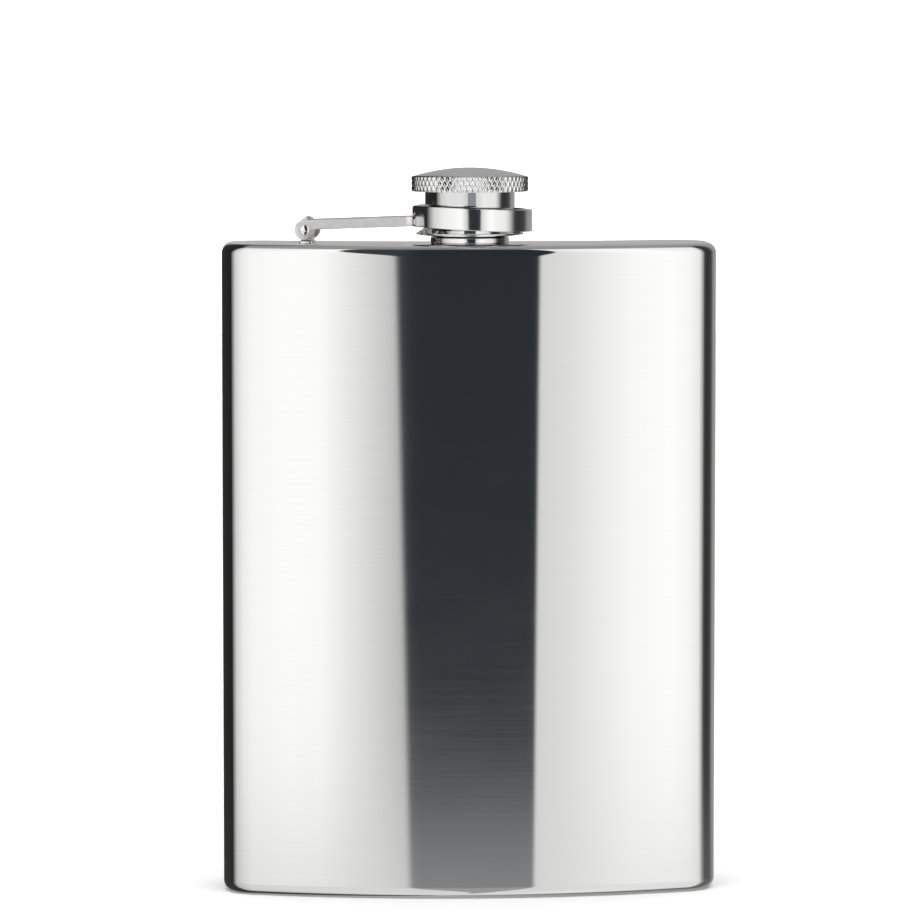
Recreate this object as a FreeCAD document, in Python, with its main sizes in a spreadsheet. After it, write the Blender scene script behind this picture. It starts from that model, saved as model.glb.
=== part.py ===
import FreeCAD, Part
import math
import os
import Sketcher

# Hip flask with a captive screw cap: a kidney-shaped steel body, a threaded neck, and a cap held by a
# sprung-shut strip that is riveted to a lug on the top plate.
# Origin: centre of the base. +X across the width, -Y out of the convex front, +Z up. Millimetres.

os.makedirs("parts", exist_ok=True)
doc = FreeCAD.newDocument("HipFlask")
V = FreeCAD.Vector

# ---------------------------------------------------------------- driving dimensions
DIMENSIONS = {
    # body: two concentric walls joined by rounded ends
    "body_width": 95.0,
    "body_height": 125.0,
    "body_depth": 23.0,
    "mid_radius": 130.0,
    "corner_radius": 7.6,
    "edge_radius": 2.0,
    "pan_skirt": 2.2,
    "sheet": 0.7,
    # neck, measured up from the top plate
    "collar_diameter": 15.1,
    "collar_height": 1.1,
    "neck_height": 9.15,
    "neck_bore": 10.9,
    "spigot_diameter": 13.0,
    "thread_pitch": 1.5,
    "thread_root_width": 0.8,
    "thread_crest_width": 0.3,
    "thread_embed": 0.1,
    "neck_thread_depth": 0.45,
    "sleeve_thread_depth": 0.28,
    "neck_root_diameter": 12.7,
    "neck_thread_start": 2.9,
    "neck_thread_turns": 3.5,
    "sleeve_thread_turns": 2.25,
    "neck_lip": 0.25,
    # cap, measured up from the top plate
    "head_diameter": 22.4,
    "head_underside": 9.85,
    "head_rim_height": 3.0,
    "head_chamfer": 0.15,
    "dome_diameter": 21.2,
    "dome_height": 1.58,
    "barrel_diameter": 17.2,
    "barrel_bottom": 3.0,
    "barrel_bore": 16.0,
    "flange_diameter": 20.6,
    "flange_rim_top": 1.9,
    "flange_rim_bottom": 1.65,
    "sleeve_bottom": 1.25,
    "sleeve_top": 9.0,
    "sleeve_bore": 14.3,
    "sleeve_foot": 0.6,
    "seal_diameter": 15.6,
    "seal_bottom": 9.2,
    "seal_thickness": 1.2,
    "seal_play": 0.05,
    # captive strip: a ring round the barrel and two legs to the hinge
    "strip_thickness": 1.3,
    "ring_bore": 20.4,
    "ring_shift": 0.45,
    "leg_spread": 8.0,
    "leg_height": 1.95,
    "leg_rise": 0.75,
    "bend_radius": 2.6,
    "band_left_top": 4.85,
    "band_right_top": 3.95,
    "band_right_bottom": -0.25,
    "tab_corner": 1.1,
    "tab_gap": 0.3,
    "tab_overhang": 0.05,
    "band_start": 0.6,
    "eye_diameter": 3.9,
    # hinge
    "hinge_to_cap": 31.4,
    "hinge_setback": 5.2,
    "hinge_height": 2.45,
    "pin_diameter": 1.25,
    "pin_hole": 1.35,
    "rivet_head_diameter": 2.0,
    "rivet_head_height": 0.45,
    "rivet_play": 0.03,
    "lug_width": 2.1,
    "lug_thickness": 4.0,
    "lug_height": 5.0,
    "foot_width": 2.7,
    "foot_depth": 4.7,
    "foot_height": 0.3,
    "foot_fillet": 0.25,
}

sheet = doc.addObject("Spreadsheet::Sheet", "Sizes")
for row, (alias, number) in enumerate(DIMENSIONS.items(), start=1):
    sheet.set(f"A{row}", alias)
    sheet.set(f"B{row}", str(number))
    sheet.setAlias(f"B{row}", alias)
doc.recompute()


class Size:
    """A length that carries its number and the sheet expression that gives it."""

    def __init__(self, number, text):
        self.number = number
        self.text = text

    def __add__(self, other):
        other = size_of(other)
        return Size(self.number + other.number, f"({self.text} + {other.text})")

    def __sub__(self, other):
        other = size_of(other)
        return Size(self.number - other.number, f"({self.text} - {other.text})")

    def __mul__(self, factor):
        return Size(self.number * factor, f"({self.text} * {factor})")

    def __truediv__(self, divisor):
        return Size(self.number / divisor, f"({self.text} / {divisor})")


def size_of(value):
    return value if isinstance(value, Size) else Size(value, f"{value}")


D = {alias: Size(number, f"Sizes.{alias}") for alias, number in DIMENSIONS.items()}
N = DIMENSIONS

# ---------------------------------------------------------------- places worked out from the dimensions
half_width = N["body_width"] / 2
corner_x = half_width - N["corner_radius"]
back_radius = N["mid_radius"] - N["body_depth"] / 2
back_corner_y = N["mid_radius"] - math.sqrt((back_radius + N["corner_radius"]) ** 2 - corner_x**2)
# the mid-thickness at x = 0 stands this far from the middle of the whole depth
mid_y = (N["body_depth"] / 2 - (back_corner_y + N["corner_radius"])) / 2
deck = N["body_height"]

arm_yaw = math.asin(N["hinge_setback"] / N["hinge_to_cap"])
hinge_place = FreeCAD.Placement(
    V(-N["hinge_to_cap"] * math.cos(arm_yaw), mid_y + N["hinge_setback"], deck + N["hinge_height"]),
    FreeCAD.Rotation(V(0, 0, 1), -math.degrees(arm_yaw)),
)
neck_place = FreeCAD.Placement(V(0, mid_y, deck), FreeCAD.Rotation())


# ---------------------------------------------------------------- modelling helpers
def plane(body, role):
    return next(f for f in body.Origin.OriginFeatures if f.Role == role)


def new_body(label, place=None):
    body = doc.addObject("PartDesign::Body", label)
    body.Label = label
    if place is not None:
        body.Placement = place
    return body


def new_sketch(body, name, role="XY_Plane", lift=None):
    sketch = body.newObject("Sketcher::SketchObject", name)
    sketch.AttachmentSupport = [(plane(body, role), "")]
    sketch.MapMode = "FlatFace"
    if lift is not None:
        sketch.setExpression("AttachmentOffset.Base.z", lift.text)
    return sketch


def fix_point(sketch, geometry, end, x, y):
    """Ties a sketch vertex to its two sizes, measured from the sketch origin."""
    for kind, axis, value in (("DistanceX", -2, size_of(x)), ("DistanceY", -1, size_of(y))):
        if value.number == 0:
            sketch.addConstraint(Sketcher.Constraint("PointOnObject", geometry, end, axis))
            continue
        index = sketch.addConstraint(Sketcher.Constraint(kind, -1, 1, geometry, end, value.number))
        sketch.setExpression(f"Constraints[{index}]", value.text)


def closed_profile(sketch, points, domes=()):
    """A closed outline; a side listed in domes is an arc whose centre lies on the vertical axis."""
    count = len(points)
    flat = [V(size_of(x).number, size_of(y).number, 0) for x, y in points]
    for i in range(count):
        a, b = flat[i], flat[(i + 1) % count]
        if i in domes:
            centre_y = (a.x**2 + a.y**2 - b.x**2 - b.y**2) / (2 * (a.y - b.y))
            centre = V(0, centre_y, 0)
            angles = [math.atan2(p.y - centre.y, p.x) for p in (a, b)]
            circle = Part.Circle(centre, V(0, 0, 1), (a - centre).Length)
            sketch.addGeometry(Part.ArcOfCircle(circle, min(angles), max(angles)))
        else:
            sketch.addGeometry(Part.LineSegment(a, b))

    def ends(i):
        """The vertex numbers at the first and last point of side i."""
        if i not in domes:
            return 1, 2
        a, b = flat[i], flat[(i + 1) % count]
        middle = sketch.Geometry[i].Center
        forward = math.atan2(a.y - middle.y, a.x) < math.atan2(b.y - middle.y, b.x)
        return (1, 2) if forward else (2, 1)

    for i in range(count):
        following = (i + 1) % count
        joint = Sketcher.Constraint("Coincident", i, ends(i)[1], following, ends(following)[0])
        sketch.addConstraint(joint)
        if i in domes:
            sketch.addConstraint(Sketcher.Constraint("PointOnObject", i, 3, -2))
    for i, (x, y) in enumerate(points):
        fix_point(sketch, i, ends(i)[0], x, y)


def turned(label, points, domes=(), place=None):
    """A body turned about its own Z axis from (radius, height) points."""
    body = new_body(label, place)
    sketch = new_sketch(body, f"{label}_profile", "XZ_Plane")
    closed_profile(sketch, points, domes)
    turn = body.newObject("PartDesign::Revolution", f"{label}_turned")
    turn.Profile = sketch
    turn.ReferenceAxis = (sketch, ["V_Axis"])
    turn.Angle = 360
    sketch.Visibility = False
    doc.recompute()
    return body


def kidney_loop(sketch, inset):
    """The kidney outline, moved inward by inset: front arc, back arc, two ends and four corners."""
    first = len(sketch.Geometry)
    depth = inset.number
    front_r = N["mid_radius"] + N["body_depth"] / 2 - depth
    back_r = back_radius + depth
    corner_r = N["corner_radius"] - depth
    side_x = half_width - depth
    centre = V(0, mid_y + N["mid_radius"], 0)
    front_y = centre.y - math.sqrt((front_r - corner_r) ** 2 - corner_x**2)
    back_y = centre.y - math.sqrt((back_r + corner_r) ** 2 - corner_x**2)
    front_turn = math.asin(corner_x / (front_r - corner_r))
    back_turn = math.asin(corner_x / (back_r + corner_r))
    down, left = -math.pi / 2, math.pi

    def arc(middle, radius, start, stop):
        circle = Part.Circle(middle, V(0, 0, 1), radius)
        sketch.addGeometry(Part.ArcOfCircle(circle, start, stop))

    arc(centre, front_r, down - front_turn, down + front_turn)
    arc(V(corner_x, front_y, 0), corner_r, down + front_turn, 0)
    sketch.addGeometry(Part.LineSegment(V(side_x, front_y, 0), V(side_x, back_y, 0)))
    arc(V(corner_x, back_y, 0), corner_r, 0, math.pi / 2 + back_turn)
    arc(centre, back_r, down - back_turn, down + back_turn)
    arc(V(-corner_x, back_y, 0), corner_r, math.pi / 2 - back_turn, left)
    sketch.addGeometry(Part.LineSegment(V(-side_x, back_y, 0), V(-side_x, front_y, 0)))
    arc(V(-corner_x, front_y, 0), corner_r, left, 3 * math.pi / 2 - front_turn)

    front, front_right, right, back_right, back, back_left, left_side, front_left = (
        first + k for k in range(8)
    )
    tangents = (
        (front, 2, front_right, 1),
        (front_right, 2, right, 1),
        (right, 2, back_right, 1),
        (back_right, 2, back, 2),
        (back, 1, back_left, 1),
        (back_left, 2, left_side, 1),
        (left_side, 2, front_left, 1),
        (front_left, 2, front, 1),
    )
    for one, one_end, other, other_end in tangents:
        sketch.addConstraint(Sketcher.Constraint("Tangent", one, one_end, other, other_end))
    sketch.addConstraint(Sketcher.Constraint("PointOnObject", front, 3, -2))
    sketch.addConstraint(Sketcher.Constraint("Coincident", front, 3, back, 3))
    sketch.addConstraint(Sketcher.Constraint("Vertical", right))
    sketch.addConstraint(Sketcher.Constraint("Vertical", left_side))
    for corner in (back_right, back_left, front_left):
        sketch.addConstraint(Sketcher.Constraint("Equal", front_right, corner))
    centre_height = size_of(mid_y) + D["mid_radius"]
    sizes = (
        (Sketcher.Constraint("Radius", front, front_r), D["mid_radius"] + D["body_depth"] / 2 - inset),
        (Sketcher.Constraint("Radius", back, back_r), D["mid_radius"] - D["body_depth"] / 2 + inset),
        (Sketcher.Constraint("Radius", front_right, corner_r), D["corner_radius"] - inset),
        (Sketcher.Constraint("DistanceX", -1, 1, right, 1, side_x), D["body_width"] / 2 - inset),
        (Sketcher.Constraint("DistanceX", left_side, 1, -1, 1, side_x), D["body_width"] / 2 - inset),
        (Sketcher.Constraint("DistanceY", -1, 1, front, 3, centre.y), centre_height),
    )
    for constraint, value in sizes:
        index = sketch.addConstraint(constraint)
        sketch.setExpression(f"Constraints[{index}]", value.text)


def padded(body, sketch, length, name, cut=False, reverse=False, midplane=False):
    """Pads or pockets a sketch and makes sure that the volume changed the right way."""
    before = body.Shape.Volume if body.Tip else 0
    kind = "PartDesign::Pocket" if cut else "PartDesign::Pad"
    feature = body.newObject(kind, name)
    feature.Profile = sketch
    feature.setExpression("Length", size_of(length).text)
    feature.Reversed = reverse
    feature.Midplane = midplane
    sketch.Visibility = False
    doc.recompute()
    after = body.Shape.Volume
    if (after >= before) if cut else (after <= before):
        raise ValueError(f"{name} changed the volume from {before:.2f} to {after:.2f}")
    return feature


def rounded(body, name, radius, wanted):
    """Fillets the edges of the tip for which wanted(edge) holds."""
    base = body.Tip
    names = [f"Edge{i}" for i, edge in enumerate(base.Shape.Edges, start=1) if wanted(edge)]
    fillet = body.newObject("PartDesign::Fillet", name)
    fillet.Base = (base, names)
    fillet.setExpression("Radius", radius.text)
    doc.recompute()
    return fillet


def at_height(height):
    return lambda edge: all(abs(v.Z - height) < 1e-6 for v in edge.Vertexes) and edge.Length > 0


# ---------------------------------------------------------------- body wrap
# One sheet bent round into a kidney tube, between the skirts of the two plates.
def build_body_shell():
    body = new_body("body_shell")
    outline = new_sketch(body, "shell_outline", lift=D["pan_skirt"])
    kidney_loop(outline, size_of(0.0))
    kidney_loop(outline, D["sheet"])
    padded(body, outline, D["body_height"] - D["pan_skirt"] * 2, "shell_wall")
    return body


# ---------------------------------------------------------------- pressed plates
# Shallow pans with a rounded edge; the same pressing closes both ends, and the top one has the neck hole.
def build_pan(label, base, inside, rim_z, floor_z):
    body = new_body(label)
    outline = new_sketch(body, f"{label}_outline", lift=base)
    kidney_loop(outline, size_of(0.0))
    padded(body, outline, D["pan_skirt"], f"{label}_blank")
    rounded(body, f"{label}_edge", D["edge_radius"], at_height(rim_z))
    hollow = new_sketch(body, f"{label}_inside", lift=inside)
    kidney_loop(hollow, D["sheet"])
    deep = D["pan_skirt"] - D["sheet"]
    padded(body, hollow, deep, f"{label}_hollow", cut=True, reverse=True)
    rounded(body, f"{label}_inner_edge", D["edge_radius"] - D["sheet"], at_height(floor_z))
    return body


def build_top_plate():
    top = N["body_height"]
    low = D["body_height"] - D["pan_skirt"]
    body = build_pan("top_plate", low, low, top, top - N["sheet"])
    hole = new_sketch(body, "neck_hole", lift=D["body_height"])
    hole.addGeometry(Part.Circle(V(0, mid_y, 0), V(0, 0, 1), N["spigot_diameter"] / 2))
    fix_point(hole, 0, 3, 0, mid_y)
    index = hole.addConstraint(Sketcher.Constraint("Diameter", 0, N["spigot_diameter"]))
    hole.setExpression(f"Constraints[{index}]", D["spigot_diameter"].text)
    padded(body, hole, D["pan_skirt"], "neck_hole_cut", cut=True)
    return body


def build_bottom_plate():
    return build_pan("bottom_plate", size_of(0.0), D["sheet"], 0.0, N["sheet"])


# ---------------------------------------------------------------- threads
# The crests pass each other with 0.07 mm to spare, so the cap can also turn without rising.
def ridge(body, name, root, depth, direction, start, turns):
    """A helical ridge on a wall of the given root radius; direction is +1 outward, -1 inward."""
    sketch = new_sketch(body, f"{name}_section", "XZ_Plane")
    wide, narrow = D["thread_root_width"] / 2, D["thread_crest_width"] / 2
    foot = root - D["thread_embed"] * direction
    crest = root + depth * direction
    corners = ((foot, start - wide), (crest, start - narrow), (crest, start + narrow), (foot, start + wide))
    closed_profile(sketch, corners if direction > 0 else corners[::-1])
    before = body.Shape.Volume
    helix = body.newObject("PartDesign::AdditiveHelix", name)
    helix.Profile = sketch
    helix.ReferenceAxis = (sketch, ["V_Axis"])
    helix.Mode = "pitch-turns-angle"
    helix.setExpression("Pitch", D["thread_pitch"].text)
    helix.setExpression("Turns", turns.text)
    helix.LeftHanded = False
    helix.Reversed = False
    sketch.Visibility = False
    doc.recompute()
    if body.Shape.Volume <= before:
        raise ValueError(f"{name} added nothing")


# ---------------------------------------------------------------- neck
# A turned spout: a spigot brazed into the plate, a plain collar, and the outer thread above it.
def build_neck():
    bore, spigot = D["neck_bore"] / 2, D["spigot_diameter"] / 2
    collar, root = D["collar_diameter"] / 2, D["neck_root_diameter"] / 2
    under, lip = D["sheet"] * -1, D["neck_lip"]
    profile = (
        (bore, under),
        (spigot, under),
        (spigot, 0),
        (collar, 0),
        (collar, D["collar_height"]),
        (root, D["collar_height"]),
        (root, D["neck_height"] - lip),
        (root - lip, D["neck_height"]),
        (bore + lip, D["neck_height"]),
        (bore, D["neck_height"] - lip),
    )
    body = turned("neck", profile, place=neck_place)
    start, turns = D["neck_thread_start"], D["neck_thread_turns"]
    ridge(body, "neck_thread", root, D["neck_thread_depth"], 1, start, turns)
    return body


# ---------------------------------------------------------------- cap
# The knurled head and its barrel are one turned piece.
def build_cap_head():
    rim, barrel, bore = D["head_diameter"] / 2, D["barrel_diameter"] / 2, D["barrel_bore"] / 2
    low, edge = D["head_underside"], D["head_chamfer"]
    top = low + D["head_rim_height"]
    roof = D["seal_bottom"] + D["seal_thickness"] + D["seal_play"]
    profile = (
        (0, roof),
        (bore, roof),
        (bore, D["barrel_bottom"]),
        (barrel, D["barrel_bottom"]),
        (barrel, low),
        (rim - edge, low),
        (rim, low + edge),
        (rim, top - edge),
        (rim - edge, top),
        (D["dome_diameter"] / 2, top),
        (0, top + D["dome_height"]),
    )
    return turned("cap_head", profile, domes=(9,), place=neck_place)


# The threaded sleeve is pressed into the barrel; its flared flange stops the ring from slipping off.
def build_cap_sleeve():
    outer, bore = D["barrel_bore"] / 2, D["sleeve_bore"] / 2
    flange, barrel = D["flange_diameter"] / 2, D["barrel_diameter"] / 2
    profile = (
        (bore, D["sleeve_bottom"]),
        (bore + D["sleeve_foot"], D["sleeve_bottom"]),
        (flange, D["flange_rim_bottom"]),
        (flange, D["flange_rim_top"]),
        (barrel, D["barrel_bottom"]),
        (outer, D["barrel_bottom"]),
        (outer, D["sleeve_top"]),
        (bore, D["sleeve_top"]),
    )
    body = turned("cap_sleeve", profile, place=neck_place)
    start = D["neck_thread_start"] + D["thread_pitch"] * 1.5
    ridge(body, "sleeve_thread", bore, D["sleeve_thread_depth"], -1, start, D["sleeve_thread_turns"])
    return body


# Soft liner disc trapped between the sleeve and the head; it closes on the lip of the neck.
def build_cap_seal():
    radius = D["seal_diameter"] / 2
    low, high = D["seal_bottom"], D["seal_bottom"] + D["seal_thickness"]
    profile = ((0, low), (radius, low), (radius, high), (0, high))
    return turned("cap_seal", profile, place=neck_place)


# ---------------------------------------------------------------- hinge lug and rivet
# A small post with a round top, standing on a foot that is welded to the plate.
def build_hinge_lug():
    on_deck = FreeCAD.Placement(
        V(hinge_place.Base.x, hinge_place.Base.y, deck), hinge_place.Rotation
    )
    body = new_body("hinge_lug", on_deck)
    foot = new_sketch(body, "lug_foot")
    half_x, half_y = D["foot_width"] / 2, D["foot_depth"] / 2
    corners = (
        (half_x * -1, half_y * -1),
        (half_x, half_y * -1),
        (half_x, half_y),
        (half_x * -1, half_y),
    )
    closed_profile(foot, corners)
    padded(body, foot, D["foot_height"], "lug_foot_pad")

    post = new_sketch(body, "lug_post", "XZ_Plane")
    radius = D["lug_width"] / 2
    shoulder = D["lug_height"] - radius
    floor = D["foot_height"]
    side, base, top = radius.number, floor.number, shoulder.number
    low_left, low_right = V(-side, base, 0), V(side, base, 0)
    high_left, high_right = V(-side, top, 0), V(side, top, 0)
    post.addGeometry(Part.LineSegment(low_left, low_right))
    post.addGeometry(Part.LineSegment(low_right, high_right))
    crown = Part.Circle(V(0, top, 0), V(0, 0, 1), side)
    post.addGeometry(Part.ArcOfCircle(crown, 0, math.pi))
    post.addGeometry(Part.LineSegment(high_left, low_left))
    for line in range(4):
        post.addConstraint(Sketcher.Constraint("Coincident", line, 2, (line + 1) % 4, 1))
    fix_point(post, 0, 1, radius * -1, floor)
    fix_point(post, 0, 2, radius, floor)
    fix_point(post, 1, 2, radius, shoulder)
    fix_point(post, 3, 1, radius * -1, shoulder)
    post.addConstraint(Sketcher.Constraint("PointOnObject", 2, 3, -2))
    post.addConstraint(Sketcher.Constraint("Tangent", 1, 2))
    padded(body, post, D["lug_thickness"], "lug_post_pad", midplane=True)

    def at_foot(edge):
        on_floor = at_height(N["foot_height"])(edge)
        return on_floor and all(abs(v.X) < N["lug_width"] / 2 + 0.01 for v in edge.Vertexes)

    rounded(body, "lug_foot_fillet", D["foot_fillet"], at_foot)
    hole = new_sketch(body, "lug_hole", "XZ_Plane")
    hole.addGeometry(Part.Circle(V(0, N["hinge_height"], 0), V(0, 0, 1), N["pin_hole"] / 2))
    fix_point(hole, 0, 3, 0, D["hinge_height"])
    index = hole.addConstraint(Sketcher.Constraint("Diameter", 0, N["pin_hole"]))
    hole.setExpression(f"Constraints[{index}]", D["pin_hole"].text)
    padded(body, hole, D["lug_thickness"] * 2, "lug_hole_cut", cut=True, midplane=True)
    return body


def build_hinge_pin():
    """A rivet along the hinge axis, with a domed head outside each leg of the strip."""
    shank, head = D["pin_diameter"] / 2, D["rivet_head_diameter"] / 2
    seat = D["leg_spread"] / 2 + D["rivet_play"]
    end = seat + D["rivet_head_height"]
    brim = seat + D["rivet_head_height"] / 3
    profile = (
        (0, end * -1),
        (head, brim * -1),
        (head, seat * -1),
        (shank, seat * -1),
        (shank, seat),
        (head, seat),
        (head, brim),
        (0, end),
    )
    across = FreeCAD.Rotation(V(1, 0, 0), 90)
    place = FreeCAD.Placement(hinge_place.Base, hinge_place.Rotation.multiply(across))
    return turned("hinge_pin", profile, domes=(0, 6), place=place)


# ---------------------------------------------------------------- captive strip
# One strip: the wide middle is rolled into a ring with two closing tabs, and its narrow ends run back
# as two legs to the eyes. Its plan and its side view are cut from one blank.
# Local frame: origin on the hinge axis, X to the cap, Z up.
def build_captive_arm():
    thick = N["strip_thickness"]
    inner, outer = N["ring_bore"] / 2, N["ring_bore"] / 2 + thick
    ring_x = N["hinge_to_cap"] + N["ring_shift"]
    leg_out, leg_in = N["leg_spread"] / 2, N["leg_spread"] / 2 - thick
    clear = 1.0  # how far each cutting shape reaches past the strip
    far = ring_x + outer + clear
    low, high = -N["eye_diameter"], N["band_left_top"] + clear
    split = N["leg_height"] + N["leg_rise"]

    def slab(face, base, top):
        face.translate(V(0, 0, base))
        return face.extrude(V(0, 0, top - base))

    def disc(x, y, radius):
        return Part.Face(Part.Wire(Part.Circle(V(x, y, 0), V(0, 0, 1), radius).toShape()))

    def plate(x0, y0, x1, y1):
        return Part.makePlane(x1 - x0, y1 - y0, V(x0, y0, 0))

    ring = disc(ring_x, 0, outer).cut(disc(ring_x, 0, inner))
    slot = plate(ring_x - outer - clear, -N["tab_gap"] / 2, ring_x, N["tab_gap"] / 2)
    closed_ring = ring.cut(slot)

    # the concave bend between leg and ring: an arc tangent to the leg's outer face and to the ring
    bend = N["bend_radius"]
    bend_y = leg_out + bend
    bend_x = ring_x - math.sqrt((outer + bend) ** 2 - bend_y**2)
    touch = V(ring_x, 0, 0) + (V(bend_x, bend_y, 0) - V(ring_x, 0, 0)) * (outer / (outer + bend))
    inside_x = ring_x - math.sqrt(inner**2 - leg_in**2)
    legs = plate(-N["eye_diameter"], -leg_out, bend_x, leg_out)
    root = Part.Face(
        Part.makePolygon(
            [
                V(bend_x, -leg_out, 0),
                V(touch.x, -touch.y, 0),
                V(ring_x, 0, 0),
                V(touch.x, touch.y, 0),
                V(bend_x, leg_out, 0),
                V(bend_x, -leg_out, 0),
            ]
        )
    )
    for side in (-1, 1):
        root = root.cut(disc(bend_x, side * bend_y, bend))
    channel = plate(-N["eye_diameter"] - clear, -leg_in, inside_x, leg_in)
    # the inner faces leave the ring through a small arc, parallel to the outer bend
    soften = bend + thick
    soft_x = ring_x - math.sqrt(max((inner + soften) ** 2 - bend_y**2, 0))
    wedge = Part.Face(
        Part.makePolygon(
            [
                V(soft_x, 0, 0),
                V(soft_x, leg_in, 0),
                V(inside_x, leg_in, 0),
                V(inside_x, 0, 0),
                V(soft_x, 0, 0),
            ]
        )
    )
    open_ring = ring.fuse([legs, root]).cut([channel, disc(ring_x, 0, inner), wedge])

    upper = slab(closed_ring, split, high)
    lower = slab(open_ring, low, split)

    # side view: eye, leg and band, in the X-Z plane
    eye = N["eye_diameter"] / 2
    band_left = ring_x - outer - N["tab_overhang"]
    slope = (N["band_left_top"] - N["band_right_top"]) / (2 * outer)
    corner = N["tab_corner"]
    corner_cut = corner * (1 - math.sqrt(0.5))
    tab_top = N["band_left_top"]
    band_foot = V(ring_x - outer + N["band_start"], 0, N["leg_rise"])
    tab_side = V(band_left, 0, tab_top - corner)
    tab_middle = V(band_left + corner_cut, 0, tab_top - corner_cut)
    tab_end = V(band_left + corner, 0, tab_top - slope * corner)
    straight = [
        tab_side,
        V(band_left, 0, eye + N["leg_rise"]),
        V(0, 0, eye),
        V(0, 0, 0),
        band_foot,
        V(far, 0, N["band_right_bottom"]),
        V(far, 0, N["band_right_top"]),
        tab_end,
    ]
    edges = [Part.LineSegment(a, b).toShape() for a, b in zip(straight, straight[1:])]
    edges.append(Part.Arc(tab_end, tab_middle, tab_side).toShape())
    side = Part.Face(Part.Wire(edges))
    reach = outer + clear
    side.translate(V(0, -reach, 0))
    side = side.extrude(V(0, 2 * reach, 0))
    start, along = V(0, -reach, 0), V(0, 1, 0)
    eyes = Part.makeCylinder(eye, 2 * reach, start, along)
    hole = Part.makeCylinder(N["pin_hole"] / 2, 2 * reach, start, along)
    strip = upper.fuse(lower).common(side.fuse(eyes)).cut(hole).removeSplitter()

    arm = doc.addObject("Part::Feature", "captive_arm")
    arm.Shape = strip
    arm.Label = "captive_arm"
    arm.Placement = hinge_place
    return arm


# ---------------------------------------------------------------- build, check and write
sub_parts = [
    build_body_shell(),
    build_top_plate(),
    build_bottom_plate(),
    build_neck(),
    build_cap_head(),
    build_cap_sleeve(),
    build_cap_seal(),
    build_hinge_lug(),
    build_hinge_pin(),
    build_captive_arm(),
]
doc.recompute()

for item in doc.Objects:
    if "Invalid" in item.State or "Error" in item.State:
        raise ValueError(f"{item.Label} is in state {item.State}")
for item in sub_parts:
    if item.Shape.isNull() or not item.Shape.isValid():
        raise ValueError(f"{item.Label} has no valid shape")
for item in sub_parts:
    item.Shape.exportStep(f"parts/{item.Label}.step")
    box = item.Shape.BoundBox
    print(
        f"{item.Label:14} solids {len(item.Shape.Solids)} volume {item.Shape.Volume:9.2f}"
        f"  x {box.XMin:7.2f} {box.XMax:7.2f}  y {box.YMin:7.2f} {box.YMax:7.2f}"
        f"  z {box.ZMin:7.2f} {box.ZMax:7.2f}"
    )
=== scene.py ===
import math

import bmesh
import bpy
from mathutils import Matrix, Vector
from mathutils.geometry import tessellate_polygon


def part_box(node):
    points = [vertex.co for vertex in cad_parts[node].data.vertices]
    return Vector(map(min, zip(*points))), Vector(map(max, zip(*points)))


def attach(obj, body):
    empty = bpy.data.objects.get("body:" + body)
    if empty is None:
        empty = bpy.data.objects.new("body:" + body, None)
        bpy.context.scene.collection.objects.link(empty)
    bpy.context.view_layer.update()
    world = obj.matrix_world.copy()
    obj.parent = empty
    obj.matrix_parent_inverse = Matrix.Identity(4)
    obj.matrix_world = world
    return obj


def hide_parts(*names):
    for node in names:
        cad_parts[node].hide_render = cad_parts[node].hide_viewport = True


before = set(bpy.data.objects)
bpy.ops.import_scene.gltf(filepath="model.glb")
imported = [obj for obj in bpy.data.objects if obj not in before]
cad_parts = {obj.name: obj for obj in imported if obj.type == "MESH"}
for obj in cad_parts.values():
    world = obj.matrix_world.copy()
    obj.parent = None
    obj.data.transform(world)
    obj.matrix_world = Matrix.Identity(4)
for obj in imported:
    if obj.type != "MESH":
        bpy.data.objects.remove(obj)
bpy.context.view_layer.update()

# ---------------------------------------------------------------- studio
# The flask stands on a white table in front of a white backdrop. Two tall soft panels light it from the
# left and the right of the camera, with a dark gap between them, and the corners behind them are dark.
MM = 0.001
body_low, body_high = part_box("body_shell")
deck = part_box("top_plate")[1].z
neck_low, neck_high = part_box("neck")
neck_y = (neck_low.y + neck_high.y) / 2
body_mid = Vector((0, neck_y, deck / 2))

scene = bpy.context.scene
scene.view_settings.view_transform = "Standard"

CAMERA_DISTANCE = 947 * MM
CAMERA_AZIMUTH = math.radians(-2.6)
CAMERA_ELEVATION = math.radians(5.8)
CAMERA_LENS = 192.1
AIM = Vector((-1.7 * MM, neck_y, 83.1 * MM))

camera_data = bpy.data.cameras.new("camera")
camera_data.lens = CAMERA_LENS
camera = bpy.data.objects.new("camera", camera_data)
scene.collection.objects.link(camera)
level = math.cos(CAMERA_ELEVATION)
camera.location = body_mid + CAMERA_DISTANCE * Vector((
    math.sin(CAMERA_AZIMUTH) * level, -math.cos(CAMERA_AZIMUTH) * level, math.sin(CAMERA_ELEVATION)
))
camera.rotation_euler = (AIM - camera.location).to_track_quat("-Z", "Y").to_euler()
scene.camera = camera


class Value:
    """A shader socket that takes part in plain arithmetic."""

    def __init__(self, nodes, socket):
        self.nodes = nodes
        self.socket = socket

    def math(self, operation, *others):
        values = {number: value for number, value in enumerate((self, *others))}
        return self.nodes.node("ShaderNodeMath", {"operation": operation}, values)

    def __add__(self, other):
        return self.math("ADD", other)

    def __sub__(self, other):
        return self.math("SUBTRACT", other)

    def __mul__(self, other):
        return self.math("MULTIPLY", other)

    def __rsub__(self, other):
        return self.nodes.node("ShaderNodeMath", {"operation": "SUBTRACT"}, {0: other, 1: self})

    __radd__ = __add__


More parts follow.
